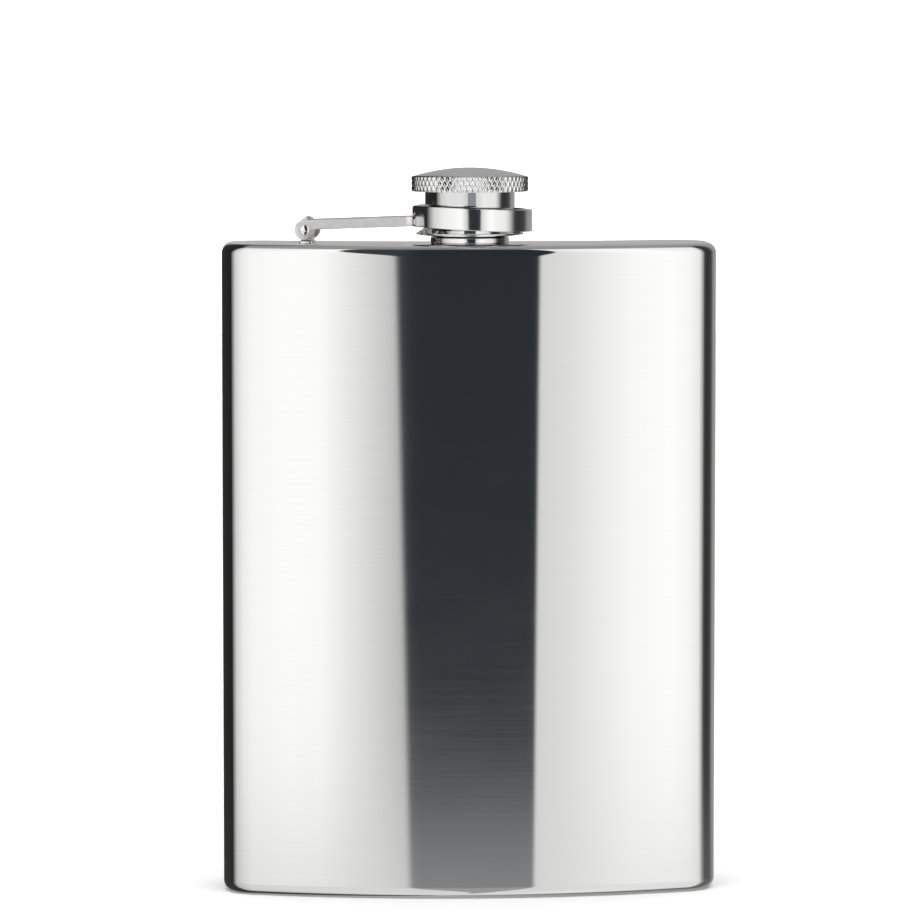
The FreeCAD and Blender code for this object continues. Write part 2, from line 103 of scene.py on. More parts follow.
class Nodes:
    """A node tree that is written as expressions."""

    def __init__(self, tree):
        self.tree = tree
        tree.nodes.clear()

    def node(self, kind, settings=None, values=None, output=0):
        made = self.tree.nodes.new(kind)
        for name, setting in (settings or {}).items():
            if name == "stops":
                self.set_stops(made.color_ramp, setting)
            else:
                setattr(made, name, setting)
        for name, value in (values or {}).items():
            if isinstance(value, Value):
                self.tree.links.new(value.socket, made.inputs[name])
            else:
                made.inputs[name].default_value = value
        return Value(self, made.outputs[output]) if made.outputs else made

    @staticmethod
    def set_stops(ramp, stops):
        while len(ramp.elements) < len(stops):
            ramp.elements.new(1.0)
        for element, (place, shade) in zip(ramp.elements, stops):
            element.position = place
            element.color = (shade, shade, shade, 1)

    def split(self, vector):
        parts = self.node("ShaderNodeSeparateXYZ", None, {0: vector})
        sockets = parts.socket.node.outputs
        return [Value(self, sockets[axis]) for axis in "XYZ"]

    def ramp(self, value, stops):
        return self.node("ShaderNodeValToRGB", {"stops": stops}, {0: value})

    def between(self, value, low, high):
        """0 below low, 1 above high, smooth in between."""
        return self.node(
            "ShaderNodeMapRange",
            {"interpolation_type": "SMOOTHSTEP"},
            {"Value": value, "From Min": low, "From Max": high},
        )

    def mix(self, factor, one, other):
        kind = {"data_type": "RGBA", "clamp_factor": True}
        return self.node("ShaderNodeMix", kind, {0: factor, 6: one, 7: other}, output=2)


PANEL_TURN = 1.4  # degrees that the lights are turned to the right


def by_azimuth(stops):
    """Ramp stops from (degrees, level) pairs; 0 is the front, + is to the right."""
    return [((degrees + PANEL_TURN + 180) / 360, shade) for degrees, shade in stops]


world = bpy.data.worlds.new("studio")
scene.world = world
world.use_nodes = True
studio = Nodes(world.node_tree)
direction = studio.node("ShaderNodeTexCoord", output="Generated")
east, north, up = studio.split(direction)
azimuth = east.math("ARCTAN2", north * -1) * (0.5 / math.pi) + 0.5
walls = studio.ramp(azimuth, by_azimuth([
    (-180, 0.5),
    (-165, 0.03),
    (-101, 0.016),
    (-93, 0.3),
    (-84, 0.66),
    (-60, 0.92),
    (-38, 0.99),
    (-30, 1.07),
    (-24, 1.05),
    (-13, 0.63),
    (-10, 0.5),
    (13, 0.72),
    (17, 0.78),
    (28, 1.02),
    (35, 1.08),
    (40, 0.98),
    (64, 0.88),
    (72, 0.6),
    (84, 0.06),
    (95, 0.03),
    (115, 0.06),
    (130, 0.28),
    (180, 0.45),
]))
table = studio.ramp(azimuth, by_azimuth([
    (-180, 0.4),
    (-165, 0.05),
    (-101, 0.03),
    (-93, 0.25),
    (-84, 0.52),
    (-30, 0.74),
    (-13, 0.72),
    (-10, 0.7),
    (13, 0.72),
    (30, 0.82),
    (72, 0.75),
    (82, 0.4),
    (94, 0.13),
    (125, 0.12),
    (140, 0.26),
    (180, 0.4),
]))
ceiling = studio.ramp(azimuth, by_azimuth([(-180, 0.34), (-90, 0.3), (0, 0.22), (90, 0.3), (180, 0.34)]))
degrees_round = (azimuth - 0.5) * 360 - PANEL_TURN
GAP_LEFT = -12.1  # degrees from the front to each edge of the gap, at eye level
GAP_RIGHT = 12.7
LEFT_SLANT = 17.8  # how far each edge leans, in degrees round for each unit up
RIGHT_SLANT = 7.6
LEFT_BLUR = 0.6
RIGHT_BLUR = 0.4
left_edge = studio.between(degrees_round + up * LEFT_SLANT, GAP_LEFT - LEFT_BLUR, GAP_LEFT + LEFT_BLUR)
right_edge = studio.between(
    degrees_round - up * RIGHT_SLANT, GAP_RIGHT - RIGHT_BLUR, GAP_RIGHT + RIGHT_BLUR,
)
gap = left_edge * (1 - right_edge)
gap_dark = studio.mix(
    studio.between(degrees_round, GAP_LEFT - 1, GAP_LEFT + 5),
    (0.040, 0.047, 0.054, 1), (0.022, 0.027, 0.032, 1),
)
gap_table = (0.33, 0.338, 0.35, 1)
above_table = studio.between(up, -0.176, -0.136)
overhead_share = studio.between(up, 0.85, 0.95)
lit = studio.mix(above_table, table, walls)
unlit = studio.mix(above_table, gap_table, gap_dark)
around = studio.mix(gap, lit, unlit)
whole = studio.mix(overhead_share, around, ceiling)
light = studio.node("ShaderNodeBackground", None, {"Color": whole, "Strength": 1.0})
studio.node("ShaderNodeOutputWorld", None, {"Surface": light})


def plain_material(name, colour, glow=0.0):
    material = bpy.data.materials.new(name)
    material.use_nodes = True
    nodes = Nodes(material.node_tree)
    shader = nodes.node("ShaderNodeBsdfPrincipled", None, {
        "Base Color": (*colour, 1), "Roughness": 0.9, "Emission Color": (*colour, 1),
        "Emission Strength": glow,
    })
    nodes.node("ShaderNodeOutputMaterial", None, {"Surface": shader})
    return material


def stage_mesh(name, points, faces, material):
    mesh = bpy.data.meshes.new(name)
    mesh.from_pydata(points, [], faces)
    mesh.materials.append(material)
    piece = bpy.data.objects.new(name, mesh)
    scene.collection.objects.link(piece)
    return piece


TABLE_HALF = 2.0
corners = [(x, y, 0) for x, y in ((-1, -1), (1, -1), (1, 1), (-1, 1))]
table_top = stage_mesh(
    "table", [Vector(c) * TABLE_HALF for c in corners], [(0, 1, 2, 3)],
    plain_material("table_white", (0.9, 0.9, 0.9)),
)
table_top.visible_glossy = False

BACKDROP_RADIUS = 6.0
sphere = bmesh.new()
bmesh.ops.create_uvsphere(sphere, u_segments=48, v_segments=24, radius=BACKDROP_RADIUS)
backdrop_mesh = bpy.data.meshes.new("backdrop")
sphere.to_mesh(backdrop_mesh)
sphere.free()
backdrop_mesh.materials.append(plain_material("backdrop_white", (1, 1, 1), glow=1.0))
backdrop = bpy.data.objects.new("backdrop", backdrop_mesh)
scene.collection.objects.link(backdrop)
for ray in ("diffuse", "glossy", "transmission", "shadow"):
    setattr(backdrop, f"visible_{ray}", False)

OVERHEAD_SPREAD = math.radians(80)
OVERHEAD_POWER = 3.4
overhead_data = bpy.data.lights.new("overhead", "SUN")
overhead_data.angle = OVERHEAD_SPREAD
overhead_data.energy = OVERHEAD_POWER
overhead = bpy.data.objects.new("overhead", overhead_data)
scene.collection.objects.link(overhead)
overhead.visible_glossy = False
overhead.visible_camera = False

# ---------------------------------------------------------------- body wrap
# One steel sheet bent round into a kidney-section tube, its seam welded and polished away at the back.
# The faces are brushed along the width with a very fine grain and then polished.
SHEET = 0.7 * MM
BODY_DEPTH = 23 * MM
MID_RADIUS = 130 * MM
CORNER_RADIUS = 7.6 * MM
half_width = body_high.x


def kidney(inset, z, front_steps=96, corner_steps=28):
    """The outline at a height, moved inward by inset, as one closed loop of points."""
    corner_x = half_width - CORNER_RADIUS
    corner = CORNER_RADIUS - inset
    front = MID_RADIUS + BODY_DEPTH / 2 - inset
    back = MID_RADIUS - BODY_DEPTH / 2 + inset
    centre_y = neck_y + MID_RADIUS
    front_turn = math.asin(corner_x / (front - corner))
    back_turn = math.asin(corner_x / (back + corner))
    front_y = centre_y - (front - corner) * math.cos(front_turn)
    back_y = centre_y - (back + corner) * math.cos(back_turn)
    points = []

    def arc(x, y, radius, start, stop, steps, skip_last=False):
        for step in range(steps + (0 if skip_last else 1)):
            angle = start + (stop - start) * step / steps
            points.append(Vector((x + radius * math.cos(angle), y + radius * math.sin(angle), z)))

    down = -math.pi / 2
    arc(0, centre_y, front, down - front_turn, down + front_turn, front_steps, True)
    arc(corner_x, front_y, corner, down + front_turn, 0, corner_steps)
    for share in (0.04, 0.96):
        points.append(Vector((half_width - inset, front_y + (back_y - front_y) * share, z)))
    arc(corner_x, back_y, corner, 0, math.pi / 2 + back_turn, corner_steps, True)
    arc(0, centre_y, back, down + back_turn, down - back_turn, front_steps, True)
    arc(-corner_x, back_y, corner, math.pi / 2 - back_turn, math.pi, corner_steps)
    for share in (0.96, 0.04):
        points.append(Vector((inset - half_width, front_y + (back_y - front_y) * share, z)))
    arc(-corner_x, front_y, corner, math.pi, 3 * math.pi / 2 - front_turn, corner_steps, True)
    return points


class Skin:
    """A surface put together from loops of points."""

    def __init__(self):
        self.points = []
        self.faces = []
        self.looks = []

    def paint(self, look):
        """Gives the faces made since the last call a finish, by its place in the piece's list."""
        self.looks += [look] * (len(self.faces) - len(self.looks))

    def loop(self, points):
        first = len(self.points)
        self.points.extend(points)
        return list(range(first, len(self.points)))

    def bridge(self, one, other, closed=True):
        count = len(one)
        for i in range(count if closed else count - 1):
            j = (i + 1) % count
            self.faces.append((one[i], one[j], other[j], other[i]))

    def chain(self, loops, ring=False):
        """Bridges each loop to the next, and the last to the first when ring is set."""
        made = [self.loop(points) for points in loops]
        pairs = list(zip(made, made[1:])) + ([(made[-1], made[0])] if ring else [])
        for one, other in pairs:
            self.bridge(one, other)
        return made

    def fan(self, ring, tip):
        centre = self.loop([tip])[0]
        for i, start in enumerate(ring):
            self.faces.append((start, ring[(i + 1) % len(ring)], centre))

    def fill(self, *rings):
        """A flat face inside the first ring, with the other rings as holes."""
        flat = [index for ring in rings for index in ring]
        for triangle in tessellate_polygon([[self.points[i] for i in ring] for ring in rings]):
            self.faces.append(tuple(flat[i] for i in triangle))

    def piece(self, name, finish, body, slot, replaced=(), sharp=35.0):
        self.paint(0)
        mesh = bpy.data.meshes.new(name)
        mesh.from_pydata([tuple(p) for p in self.points], [], self.faces)
        mesh.polygons.foreach_set("material_index", self.looks)
        tidy = bmesh.new()
        tidy.from_mesh(mesh)
        bmesh.ops.remove_doubles(tidy, verts=tidy.verts, dist=1e-7)
        bmesh.ops.recalc_face_normals(tidy, faces=tidy.faces)
        tidy.to_mesh(mesh)
        tidy.free()
        mesh.shade_smooth()
        mesh.set_sharp_from_angle(angle=math.radians(sharp))
        for material in finish if isinstance(finish, tuple) else (finish,):
            mesh.materials.append(material)
        piece = bpy.data.objects.new(name, mesh)
        scene.collection.objects.link(piece)
        flat_faces = piece.modifiers.new("flat_faces", "WEIGHTED_NORMAL")
        flat_faces.keep_sharp = True
        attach(piece, body)
        if replaced:
            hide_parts(*replaced)
        return piece


def steel(name, tone, roughness, anisotropy, line_pitch, line_length, relief):
    """Polished steel with fine lines that run level round the piece."""
    material = bpy.data.materials.new(name)
    material.use_nodes = True
    nodes = Nodes(material.node_tree)
    place = nodes.node("ShaderNodeTexCoord", output="Object")
    stretch = (1 / line_length, 1 / line_length, 1 / line_pitch)
    stretched = nodes.node("ShaderNodeVectorMath", {"operation": "MULTIPLY"}, {0: place, 1: stretch})
    lines = nodes.node("ShaderNodeTexNoise", None, {
        "Vector": stretched, "Scale": 1.0, "Detail": 4.0, "Roughness": 0.65,
    })
    clouds = nodes.node("ShaderNodeTexNoise", None, {"Vector": place, "Scale": 60.0, "Detail": 2.0})
    shade = nodes.between(lines, 0.25, 0.75)
    dull = tuple(c * 0.97 for c in tone)
    colour = nodes.mix(shade, (*dull, 1), (*tone, 1))
    bump = nodes.node("ShaderNodeBump", None, {
        "Strength": 1.0, "Distance": relief, "Height": lines,
    })
    shader = nodes.node("ShaderNodeBsdfPrincipled", None, {
        "Base Color": colour,
        "Metallic": 1.0,
        "Roughness": roughness + (lines - 0.5) * 0.03 + (clouds - 0.5) * 0.02,
        "Anisotropic": anisotropy,
        "Anisotropic Rotation": 0.25,
        "Normal": bump,
    })
    nodes.node("ShaderNodeOutputMaterial", None, {"Surface": shader})
    return material


BODY_TONE = (0.93, 0.93, 0.92)
body_steel = steel("body_steel", BODY_TONE, 0.055, 1.0, 0.2 * MM, 25 * MM, 0.0001 * MM)

wrap = Skin()
low, high = body_low.z, body_high.z
WRAP_ROWS = 12
heights = [low + (high - low) * row / WRAP_ROWS for row in range(WRAP_ROWS + 1)]
outside = [kidney(0, z) for z in heights]
inside = [kidney(SHEET, z) for z in (high, low)]
wrap.chain(outside + inside, ring=True)
wrap.piece("body_wrap", body_steel, "flask", "polished_steel", ("body_shell",))

# ---------------------------------------------------------------- end plates
# Two shallow pressed pans with a rounded edge, welded to the ends of the wrap; the upper one is pierced
# for the neck.
EDGE_RADIUS = 2.0 * MM
EDGE_STEPS = 12
FLAT_MARGIN = 0.25 * MM
NECK_HOLE_RADIUS = 6.5 * MM


def circle(radius, z, steps=96):
    """A level circle round the neck's axis."""
    turns = [2 * math.pi * i / steps for i in range(steps)]
    return [Vector((radius * math.cos(a), neck_y + radius * math.sin(a), z)) for a in turns]


def end_plate(name, node, rim, face, pierced):
    """rim is the height where the plate meets the wrap, face the height of its flat outside."""
    skin = Skin()
    outward = 1 if face > rim else -1
    inner_face = face - outward * SHEET

    def rolled(radius, inset, top):
        quarter = [math.pi / 2 * i / EDGE_STEPS for i in range(EDGE_STEPS + 1)]
        return [
            kidney(inset + radius * (1 - math.cos(a)), top - outward * radius * (1 - math.sin(a)))
            for a in quarter
        ]

    outer = [kidney(0, rim)] + rolled(EDGE_RADIUS, 0, face) + [kidney(EDGE_RADIUS + FLAT_MARGIN, face)]
    inner = [kidney(SHEET, rim)] + rolled(EDGE_RADIUS - SHEET, SHEET, inner_face)
    outer_rings = skin.chain(outer)
    inner_rings = skin.chain(inner)
    skin.bridge(outer_rings[0], inner_rings[0])
    if pierced:
        holes = skin.chain([circle(NECK_HOLE_RADIUS, z) for z in (face, inner_face)])
        skin.fill(outer_rings[-1], holes[0])
        skin.fill(inner_rings[-1], holes[1])
    else:
        skin.fill(outer_rings[-1])
        skin.fill(inner_rings[-1])
    return skin.piece(name, body_steel, "flask", "polished_steel", (node,))


end_plate("shoulder_plate", "top_plate", high, deck, True)
end_plate("base_plate", "bottom_plate", low, 0.0, False)

# ---------------------------------------------------------------- neck
# A turned spout brazed into the shoulder: a plain collar, then three and a half turns of outer thread,
# and a rounded lip round the bore.
neck_steel = steel("neck_steel", (0.92, 0.92, 0.915), 0.1, 0.7, 0.12 * MM, 20 * MM, 0.0002 * MM)
COLLAR_RADIUS = 7.55 * MM
COLLAR_HEIGHT = 1.1 * MM
ROOT_RADIUS = 6.35 * MM
BORE_RADIUS = 5.45 * MM
NECK_THREAD_DEPTH = 0.45 * MM
NECK_THREAD_START = 2.9 * MM
NECK_THREAD_TURNS = 3.5
THREAD_PITCH = 1.5 * MM
neck_height = neck_high.z - deck


def on_neck(x, y, height):
    """A point from its offsets from the neck's axis and its height above the shoulder."""
    return Vector((x, neck_y + y, deck + height))


def eased(corners, radius, steps=4):
    """A (radius, height) outline with each corner rounded a little; the outline is closed."""
    outline = []
    count = len(corners)
    for i in range(count):
        before, here, after = (Vector(corners[k % count]) for k in (i - 1, i, i + 1))
        to_before, to_after = before - here, after - here
        cut = min(radius, to_before.length * 0.45, to_after.length * 0.45)
        if here.x < 1e-9:
            outline.append(here)
            continue
        start, stop = here + to_before.normalized() * cut, here + to_after.normalized() * cut
        for step in range(steps + 1):
            share = step / steps
            one, other = start.lerp(here, share), here.lerp(stop, share)
            outline.append(one.lerp(other, share))
    return outline


def turned(skin, outline, place, steps=160, closed=True):
    """Turns a (radius, height) outline about the axis of place; the ends may lie on the axis."""
    turns = [2 * math.pi * i / steps for i in range(steps)]
    rings = []
    for radius, height in outline:
        if radius < 1e-9:
            rings.append(place(0, 0, height))
        else:
            ring = [place(radius * math.cos(a), radius * math.sin(a), height) for a in turns]
            rings.append(skin.loop(ring))
    pairs = list(zip(rings, rings[1:])) + ([(rings[-1], rings[0])] if closed else [])
    for one, other in pairs:
        if isinstance(one, Vector) and isinstance(other, Vector):
            continue
        if isinstance(one, Vector):
            skin.fan(other, one)
        elif isinstance(other, Vector):
            skin.fan(one, other)
        else:
            skin.bridge(one, other)


def thread(skin, root, depth, start, turns, steps=120):
    """A helical ridge that fades in and out over its first and last eighth of a turn."""
    half_root, half_crest, fade = 0.4 * MM, 0.15 * MM, 0.125
    foot = root - math.copysign(0.1 * MM, depth)
    loops = []
    for i in range(int(turns * steps) + 1):
        turn = i / steps
        grown = depth * min(1.0, turn / fade, (turns - turn) / fade)
        angle = 2 * math.pi * turn
        height = start + THREAD_PITCH * turn
        section = (
            (foot, -half_root),
            (root + grown * 0.9, -half_crest * 1.25),
            (root + grown, -half_crest * 0.8),
            (root + grown, half_crest * 0.8),
            (root + grown * 0.9, half_crest * 1.25),
            (foot, half_root),
        )
        loops.append([
            on_neck(radius * math.cos(angle), radius * math.sin(angle), height + rise)
            for radius, rise in section
        ])
    rings = skin.chain(loops)
    skin.fill(rings[0])
    skin.fill(rings[-1])


neck = Skin()
spigot_radius = NECK_HOLE_RADIUS - 0.01 * MM
neck_outline = eased([
    (BORE_RADIUS, -SHEET),
    (spigot_radius, -SHEET),
    (spigot_radius, 0),
    (COLLAR_RADIUS, 0),
    (COLLAR_RADIUS, COLLAR_HEIGHT),
    (ROOT_RADIUS, COLLAR_HEIGHT),
    (ROOT_RADIUS, neck_height),
    (BORE_RADIUS, neck_height),
], 0.22 * MM)
turned(neck, neck_outline, on_neck)
thread(neck, ROOT_RADIUS, NECK_THREAD_DEPTH, NECK_THREAD_START, NECK_THREAD_TURNS)
neck.piece("threaded_neck", neck_steel, "flask", "turned_steel", ("neck",))

# ---------------------------------------------------------------- hinge lug
# A small post with a round top on a flared foot, welded to the shoulder behind the middle of its
# left half. The rivet of the captive strip turns in its hole.
lug_steel = steel("lug_steel", (0.86, 0.86, 0.855), 0.22, 0.2, 0.3 * MM, 0.3 * MM, 0.002 * MM)
pin_low, pin_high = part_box("hinge_pin")
pin = (pin_low + pin_high) / 2
toward_cap = Vector((-pin.x, neck_y - pin.y, 0)).normalized()
across = Vector((-toward_cap.y, toward_cap.x, 0))
upright = Vector((0, 0, 1))
pin_height = pin.z - deck


def at_hinge(along, side, rise):
    """A point from its offsets from the middle of the rivet: to the cap, across and up."""
    return pin + toward_cap * along + across * side + upright * rise


def shrunk(outline, inset):
    """A closed 2D outline moved to its own inside; it runs anticlockwise."""
    count = len(outline)
    moved = []
    for i, here in enumerate(outline):
        before, after = outline[i - 1], outline[(i + 1) % count]
        one, other = (here - before).normalized(), (after - here).normalized()
        left = Vector((-one.y - other.y, one.x + other.x)).normalized()
        slant = max(0.3, left.dot(Vector((-one.y, one.x))))
        moved.append(here + left * (inset / slant))
    return moved


def arc_points(x, y, radius, start, stop, steps):
    """Points of an arc, with its angles in degrees."""
    turns = [math.radians(start + (stop - start) * i / steps) for i in range(steps + 1)]
    return [Vector((x + radius * math.cos(a), y + radius * math.sin(a))) for a in turns]


def easing(thickness, ease, steps=3):
    """(depth, inset) of each loop of a plate's rim, from one face to the other."""
    turns = [math.pi / 2 * i / steps for i in range(steps + 1)]
    near = [(ease * (1 - math.sin(math.pi / 2 - a)), ease * (1 - math.sin(a))) for a in turns]
    return near + [(thickness - depth, inset) for depth, inset in reversed(near)]


HOLE_RADIUS = 0.675 * MM
LUG_RADIUS = 1.05 * MM
LUG_HEIGHT = 5.0 * MM
LUG_THICKNESS = 4.0 * MM
FOOT = (2.7 * MM, 4.7 * MM, 0.3 * MM)
FLARE = 0.2 * MM


def foot_loop(half_x, half_y, corner, rise):
    loop = []
    for turn, (sx, sy) in enumerate(((1, 1), (-1, 1), (-1, -1), (1, -1))):
        middle = (sx * (half_x - corner), sy * (half_y - corner))
        loop += arc_points(*middle, corner, 90 * turn, 90 * turn + 90, 6)
    return [at_hinge(p.x, p.y, rise - pin_height) for p in loop]


lug = Skin()
foot_x, foot_y, foot_z = FOOT[0] / 2, FOOT[1] / 2, FOOT[2]
flare = [(1 - math.sin(a), 1 - math.cos(a)) for a in (math.pi / 2 * i / 6 for i in range(7))]
foot_loops = [foot_loop(foot_x, foot_y, 0.5 * MM, rise) for rise in (0, foot_z * 0.7)]
foot_loops.append(foot_loop(foot_x - 0.07 * MM, foot_y - 0.07 * MM, 0.43 * MM, foot_z))
foot_loops += [
    foot_loop(LUG_RADIUS + FLARE * out, LUG_THICKNESS / 2 + FLARE * out, 0.1 * MM + 0.4 * FLARE * out,
              foot_z + FLARE * up_share)
    for out, up_share in flare
]
foot_rings = lug.chain(foot_loops)
lug.fill(foot_rings[0])
lug.fill(foot_rings[-1])
crown_y = LUG_HEIGHT - LUG_RADIUS - pin_height
post_foot = foot_z + FLARE * 0.6 - pin_height
post = [Vector((-LUG_RADIUS, post_foot)), Vector((LUG_RADIUS, post_foot))]
post += arc_points(0, crown_y, LUG_RADIUS, 0, 180, 28)
bore = arc_points(0, 0, HOLE_RADIUS, 0, 360, 40)[:-1]
post_rings, bore_rings = [], []
for depth, inset in easing(LUG_THICKNESS, 0.12 * MM):
    side = LUG_THICKNESS / 2 - depth
    post_rings.append(lug.loop([at_hinge(p.x, side, p.y) for p in shrunk(post, inset)]))
    bore_rings.append(lug.loop([at_hinge(p.x, side, p.y) for p in shrunk(bore, -inset)]))
for rings in (post_rings, bore_rings):
    for one, other in zip(rings, rings[1:]):
        lug.bridge(one, other)
for end in (0, -1):
    lug.fill(post_rings[end], bore_rings[end])
lug.piece("hinge_post", lug_steel, "flask", "turned_steel", ("hinge_lug",))

# ---------------------------------------------------------------- rivet
# A plain steel rivet through the strip's two eyes and the post, with a low domed head at each end.
rivet_steel = steel("rivet_steel", (0.93, 0.93, 0.92), 0.12, 0.0, 0.3 * MM, 0.3 * MM, 0.001 * MM)
SHANK_RADIUS = 0.625 * MM
HEAD_RADIUS = 1.0 * MM
HEAD_HEIGHT = 0.45 * MM
LEG_OUT = 4.0 * MM
head_seat = LEG_OUT + 0.03 * MM


def on_pin(x, y, side):
    return at_hinge(x, side, y)


dome = []
for a in range(0, 91, 10):
    radius = HEAD_RADIUS * math.cos(math.radians(a))
    dome.append((radius, head_seat + HEAD_HEIGHT * (0.25 + 0.75 * math.sin(math.radians(a)))))
dome[-1] = (0, head_seat + HEAD_HEIGHT)
rivet_outline = [(SHANK_RADIUS, head_seat), (HEAD_RADIUS * 0.97, head_seat)] + dome
rivet = Skin()
half = [(radius, -height) for radius, height in reversed(rivet_outline)]
turned(rivet, half + rivet_outline, on_pin, steps=56, closed=False)
rivet.piece("strip_rivet", rivet_steel, "strip", "turned_steel", ("hinge_pin",))

# ---------------------------------------------------------------- captive strip
# One steel strip. Its wide middle is rolled into a ring round the cap's barrel and its two tabs nearly
# meet; below them the narrow ends bend outward and run back as two satin legs to the eyes on the rivet.
STRIP = 1.3 * MM
STRIP_EASE = 0.13 * MM
RING_INNER = 10.2 * MM
RING_OUTER = RING_INNER + STRIP
ring_centre = math.hypot(pin.x, neck_y - pin.y) + 0.45 * MM
BEND = 2.6 * MM
EYE_RADIUS = 1.95 * MM
LEG_HEIGHT = 1.95 * MM
LEG_RISE = 0.75 * MM
BAND_START = 0.6 * MM
TAB_TOP = 4.85 * MM
TAB_CORNER = 1.0 * MM
BAND_RIGHT_TOP = 3.95 * MM
BAND_RIGHT_BOTTOM = -0.25 * MM
TAB_GAP = 0.32 * MM
split = LEG_HEIGHT + LEG_RISE
ring_start = ring_centre - RING_OUTER
bend_y = LEG_OUT + BEND
bend_x = ring_centre - math.sqrt((RING_OUTER + BEND) ** 2 - bend_y ** 2)
bend_turn = math.acos(bend_y / (RING_OUTER + BEND))
band_levels = easing(STRIP, STRIP_EASE)


def band_bottom(along):
    start = ring_start + BAND_START
    if along < start:
        return LEG_RISE * along / start
    far = ring_centre + RING_OUTER
    return LEG_RISE + (BAND_RIGHT_BOTTOM - LEG_RISE) * (along - start) / (far - start)


def leg_top(along):
    return min(split, LEG_HEIGHT + LEG_RISE * along / ring_start)


def band_top(along):
    slope = (TAB_TOP - BAND_RIGHT_TOP) / (2 * RING_OUTER)
    top = TAB_TOP - slope * (along - ring_start)
    short = TAB_CORNER - (along - ring_start)
    if short > 0:
        top -= TAB_CORNER - math.sqrt(max(TAB_CORNER ** 2 - short ** 2, 0))
    return top


def ring_point(angle, depth):
    """On the ring's plan, at an angle from its hinge side; depth is measured in from the outside."""
    radius = RING_OUTER - depth
    return ring_centre - radius * math.cos(angle), radius * math.sin(angle)


def bend_point(turn, depth, side):
    radius = BEND + depth
    return bend_x + radius * math.sin(turn), side * (bend_y - radius * math.cos(turn))


def edge(plan, height_of, pull):
    """One rim of the strip: plan gives (along, side) at a depth; pull is +1 at a lower rim, -1 above."""
    points = []
    for depth, inset in band_levels:
        along, side = plan(depth)
        points.append(at_hinge(along, side, height_of(along) + pull * inset))
    return points


def flat_edge(plan, height, ease_share=0.0, pull=0):
    return [
        at_hinge(*plan(depth), height + pull * inset * ease_share) for depth, inset in band_levels
    ]


strip = Skin()
touch = math.atan2(bend_y, ring_centre - bend_x)
whole_turn = 2 * math.pi - 2 * touch
RING_STEPS = 150
for step in range(RING_STEPS + 1):
    turn = touch + whole_turn * step / RING_STEPS
    plan = lambda depth, turn=turn: ring_point(turn, depth)
    low_rim, high_rim = edge(plan, band_bottom, 1), edge(plan, band_top, -1)
    seam = flat_edge(plan, split)
    loop = strip.loop(low_rim + [seam[-1]] + high_rim[::-1] + [seam[0]])
    if step:
        strip.bridge(previous, loop)
    previous = loop

TAB_STEPS = 26
BEND_STEPS = 18
slit = TAB_GAP / 2 / (RING_OUTER - STRIP / 2)
for side in (-1, 1):
    loops = []
    for step in range(TAB_STEPS + 1):
        turn = touch + (slit - touch) * step / TAB_STEPS
        plan = lambda depth, turn=turn: ring_point(side * turn, depth)
        eased_in = min(1.0, 3 * step / TAB_STEPS)
        loops.append(flat_edge(plan, split, eased_in, 1) + edge(plan, band_top, -1)[::-1])
    strip.fill(strip.chain(loops)[-1])
    loops = []
    for step in range(BEND_STEPS + 1):
        turn = bend_turn * (1 - step / BEND_STEPS)
        plan = lambda depth, turn=turn: bend_point(turn, depth, side)
        eased_in = min(1.0, 3 * step / BEND_STEPS)
        share = step / BEND_STEPS
        rim = [
            at_hinge(*plan(depth), split + (leg_top(bend_x) - split) * share - inset * eased_in)
            for depth, inset in band_levels
        ]
        loops.append(edge(plan, band_bottom, 1) + rim[::-1])
    strip.chain(loops)

    eye_start = math.degrees(math.atan2(LEG_RISE, ring_start + BAND_START))
    outline = [Vector((bend_x, band_bottom(bend_x)))]
    outline += [Vector((bend_x * share, band_bottom(bend_x * share))) for share in (0.75, 0.5, 0.25)]
    outline += arc_points(0, 0, EYE_RADIUS, eye_start, -270, 72)
    outline += [Vector((bend_x * share, leg_top(bend_x * share))) for share in (0.25, 0.5, 0.75)]
    outline.append(Vector((bend_x, leg_top(bend_x))))
    outline.reverse()
    plate_rings, eye_rings = [], []
    for depth, inset in band_levels:
        moved = shrunk(outline, inset)
        moved[0] = Vector((bend_x, leg_top(bend_x) - inset))
        moved[-1] = Vector((bend_x, band_bottom(bend_x) + inset))
        offset = side * (LEG_OUT - depth)
        plate_rings.append(strip.loop([at_hinge(p.x, offset, p.y) for p in moved]))
        eye_rings.append(strip.loop([at_hinge(p.x, offset, p.y) for p in bore]))
    for one, other in zip(plate_rings, plate_rings[1:]):
        strip.bridge(one, other, closed=False)
    for one, other in zip(eye_rings, eye_rings[1:]):
        strip.bridge(one, other)
    for end in (0, -1):
        strip.fill(plate_rings[end], eye_rings[end])


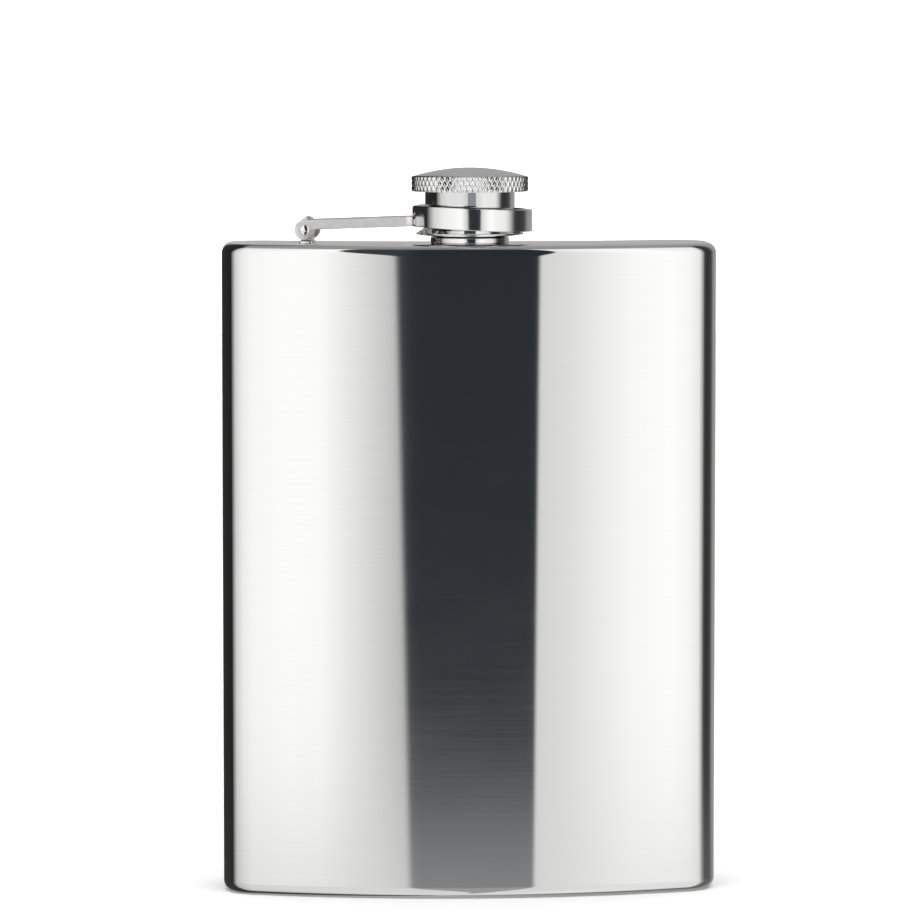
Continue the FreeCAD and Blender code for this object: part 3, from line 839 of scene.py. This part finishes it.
def strip_finish():
    """Polished on the ring, satin with a faint mottle on the legs."""
    material = bpy.data.materials.new("strip_steel")
    material.use_nodes = True
    nodes = Nodes(material.node_tree)
    place = nodes.node("ShaderNodeTexCoord", output="Object")
    offset = nodes.node("ShaderNodeVectorMath", {"operation": "SUBTRACT"}, {0: place, 1: tuple(pin)})
    dot = {"operation": "DOT_PRODUCT"}
    along = nodes.node("ShaderNodeVectorMath", dot, {0: offset, 1: tuple(toward_cap)}, output=1)
    ring = nodes.between(along, bend_x + 0.2 * MM, ring_start + 0.2 * MM)
    stretch = (1 / (1.5 * MM), 1 / (1.5 * MM), 1 / (0.16 * MM))
    stretched = nodes.node("ShaderNodeVectorMath", {"operation": "MULTIPLY"}, {0: place, 1: stretch})
    grain = nodes.node("ShaderNodeTexNoise", None, {"Vector": stretched, "Scale": 1.0, "Detail": 5.0})
    mottle = nodes.node("ShaderNodeTexNoise", None, {"Vector": place, "Scale": 900.0, "Detail": 3.0})
    satin_shade = nodes.between(mottle * 0.6 + grain * 0.4, 0.25, 0.75)
    satin = nodes.mix(satin_shade, (0.80, 0.785, 0.77, 1), (0.93, 0.915, 0.90, 1))
    colour = nodes.mix(ring, satin, (0.93, 0.93, 0.925, 1))
    bump = nodes.node("ShaderNodeBump", None, {
        "Strength": 1.0, "Distance": 1.0, "Height": grain * (1.05 - ring) * (0.006 * MM),
    })
    shader = nodes.node("ShaderNodeBsdfPrincipled", None, {
        "Base Color": colour,
        "Metallic": 1.0,
        "Roughness": 0.38 - ring * 0.27 + (grain - 0.5) * 0.06,
        "Normal": bump,
    })
    nodes.node("ShaderNodeOutputMaterial", None, {"Surface": shader})
    return material


strip.piece("captive_strip", strip_finish(), "strip", "strip_steel", ("captive_arm",))

# ---------------------------------------------------------------- cap head
# The knurled head, its low dome and the barrel below it are turned from one bar: the rim is diamond
# knurled, the dome is left with its turning lines, and the barrel is polished.
KNURL_STARTS = 64
KNURL_LEAD = 1.95 * MM
KNURL_DEPTH = 0.24 * MM
KNURL_FLAT = 0.16
SAMPLES_PER_START = 12
HEAD_RIM = 11.2 * MM
HEAD_BOTTOM = 9.85 * MM
HEAD_TOP = 12.85 * MM
HEAD_CHAMFER = 0.2 * MM
DOME_RADIUS = 10.6 * MM
DOME_HEIGHT = 1.58 * MM
BARREL_RADIUS = 8.6 * MM
BARREL_BOTTOM = 3.0 * MM
BARREL_BORE = 8.0 * MM
BARREL_ROOF = 10.45 * MM
head_steps = KNURL_STARTS * SAMPLES_PER_START


def knurled(turn, height):
    """The rim's radius: two crossing sets of V grooves leave rows of small pointed diamonds."""
    share = KNURL_STARTS * turn / (2 * math.pi)
    climb = (height - (HEAD_BOTTOM + HEAD_TOP) / 2) / KNURL_LEAD
    groove = max(abs(2 * ((share + way * climb + 0.5) % 1) - 1) for way in (1, -1))
    return HEAD_RIM - KNURL_DEPTH * max(0, groove - KNURL_FLAT) / (1 - KNURL_FLAT)


head = Skin()
sphere_radius = (DOME_RADIUS ** 2 + DOME_HEIGHT ** 2) / (2 * DOME_HEIGHT)
sphere_centre = HEAD_TOP + DOME_HEIGHT - sphere_radius
dome_outline = [(0, HEAD_TOP + DOME_HEIGHT)]
for step in range(1, 25):
    radius = DOME_RADIUS * step / 24
    dome_outline.append((radius, sphere_centre + math.sqrt(sphere_radius ** 2 - radius ** 2)))
rim_land = (DOME_RADIUS + 0.06 * MM, HEAD_TOP - 0.05 * MM)
dome_outline += [rim_land, (HEAD_RIM - HEAD_CHAMFER * 1.6, HEAD_TOP - 0.03 * MM)]
turned(head, dome_outline, on_neck, head_steps, closed=False)
head.paint(0)
rows = round((HEAD_TOP - HEAD_BOTTOM - 2 * HEAD_CHAMFER) / (KNURL_LEAD / SAMPLES_PER_START))
turns = [2 * math.pi * i / head_steps for i in range(head_steps)]
knurl_loops = []
for row in range(rows + 1):
    height = HEAD_TOP - HEAD_CHAMFER - (HEAD_TOP - HEAD_BOTTOM - 2 * HEAD_CHAMFER) * row / rows
    radii = [knurled(turn, height) for turn in turns]
    knurl_loops.append([
        on_neck(r * math.cos(turn), r * math.sin(turn), height) for r, turn in zip(radii, turns)
    ])
top_rim, bottom_rim = HEAD_RIM - HEAD_CHAMFER * 1.6, HEAD_RIM - HEAD_CHAMFER
edge_loops = [
    [on_neck(r * math.cos(turn), r * math.sin(turn), height) for turn in turns]
    for r, height in ((top_rim, HEAD_TOP - 0.03 * MM), (bottom_rim, HEAD_BOTTOM))
]
head.chain([edge_loops[0]] + knurl_loops + [edge_loops[1]])
head.paint(1)
barrel_outline = eased([
    (bottom_rim, HEAD_BOTTOM),
    (BARREL_RADIUS, HEAD_BOTTOM),
    (BARREL_RADIUS, BARREL_BOTTOM),
    (BARREL_BORE, BARREL_BOTTOM),
    (BARREL_BORE, BARREL_ROOF),
    (0, BARREL_ROOF),
], 0.1 * MM)
first_bend = next(i for i, (radius, _) in enumerate(barrel_outline) if radius < bottom_rim - 1 * MM)
barrel_outline = [(bottom_rim, HEAD_BOTTOM)] + barrel_outline[first_bend:]
turned(head, barrel_outline, on_neck, head_steps, closed=False)
head.paint(2)
dome_steel = steel("dome_steel", (0.82, 0.82, 0.81), 0.26, 0.6, 0.12 * MM, 14 * MM, 0.0012 * MM)
knurl_steel = steel("knurl_steel", (0.95, 0.95, 0.945), 0.1, 0.0, 0.3 * MM, 0.3 * MM, 0.001 * MM)
barrel_steel = steel("barrel_steel", (0.92, 0.92, 0.915), 0.06, 0.4, 0.12 * MM, 20 * MM, 0.0002 * MM)
head.piece("knurled_head", (dome_steel, knurl_steel, barrel_steel), "cap", "turned_steel", ("cap_head",))

# ---------------------------------------------------------------- cap sleeve
# A turned sleeve pressed into the barrel. Its flange runs out to a knife edge, which keeps the strip's
# ring on the cap, and its bore has the inner thread.
SLEEVE_BORE = 7.15 * MM
SLEEVE_BOTTOM = 1.25 * MM
SLEEVE_TOP = 9.0 * MM
FLANGE_RADIUS = 10.3 * MM
FLANGE_RIM = (1.65 * MM, 1.9 * MM)
SLEEVE_THREAD_DEPTH = 0.28 * MM
SLEEVE_THREAD_TURNS = 2.25
PRESS = 0.01 * MM
sleeve = Skin()
turned(sleeve, eased([
    (SLEEVE_BORE, SLEEVE_BOTTOM),
    (SLEEVE_BORE + 0.6 * MM, SLEEVE_BOTTOM),
    (FLANGE_RADIUS, FLANGE_RIM[0]),
    (FLANGE_RADIUS, FLANGE_RIM[1]),
    (BARREL_RADIUS, BARREL_BOTTOM - PRESS),
    (BARREL_BORE - PRESS, BARREL_BOTTOM - PRESS),
    (BARREL_BORE - PRESS, SLEEVE_TOP),
    (SLEEVE_BORE, SLEEVE_TOP),
], 0.1 * MM), on_neck)
sleeve_thread_start = NECK_THREAD_START + 1.5 * THREAD_PITCH
thread(sleeve, SLEEVE_BORE, -SLEEVE_THREAD_DEPTH, sleeve_thread_start, SLEEVE_THREAD_TURNS)
sleeve.piece("flanged_sleeve", barrel_steel, "cap", "turned_steel", ("cap_sleeve",))

# ---------------------------------------------------------------- cap seal
# A soft white liner disc trapped above the sleeve. The lip of the neck has pressed a shallow ring in it.
SEAL_RADIUS = 7.8 * MM
SEAL_BOTTOM = 9.2 * MM
SEAL_TOP = 10.4 * MM
IMPRINT = 0.08 * MM
seal_material = bpy.data.materials.new("seal_liner")
seal_material.use_nodes = True
seal_nodes = Nodes(seal_material.node_tree)
seal_place = seal_nodes.node("ShaderNodeTexCoord", output="Object")
speckle = seal_nodes.node("ShaderNodeTexNoise", None, {
    "Vector": seal_place, "Scale": 2500.0, "Detail": 3.0,
})
seal_nodes.node("ShaderNodeOutputMaterial", None, {
    "Surface": seal_nodes.node("ShaderNodeBsdfPrincipled", None, {
        "Base Color": seal_nodes.mix(speckle, (0.7, 0.69, 0.65, 1), (0.82, 0.81, 0.78, 1)),
        "Roughness": 0.55 + (speckle - 0.5) * 0.1,
        "Normal": seal_nodes.node("ShaderNodeBump", None, {
            "Strength": 1.0, "Distance": 0.01 * MM, "Height": speckle,
        }),
    }),
})
seal = Skin()
turned(seal, eased([
    (0, SEAL_BOTTOM),
    (BORE_RADIUS - 0.1 * MM, SEAL_BOTTOM),
    (BORE_RADIUS, SEAL_BOTTOM + IMPRINT),
    (ROOT_RADIUS, SEAL_BOTTOM + IMPRINT),
    (ROOT_RADIUS + 0.1 * MM, SEAL_BOTTOM),
    (SEAL_RADIUS, SEAL_BOTTOM),
    (SEAL_RADIUS, SEAL_TOP),
    (0, SEAL_TOP),
], 0.12 * MM), on_neck, closed=False)
seal.piece("liner_disc", seal_material, "cap", "seal", ("cap_seal",))
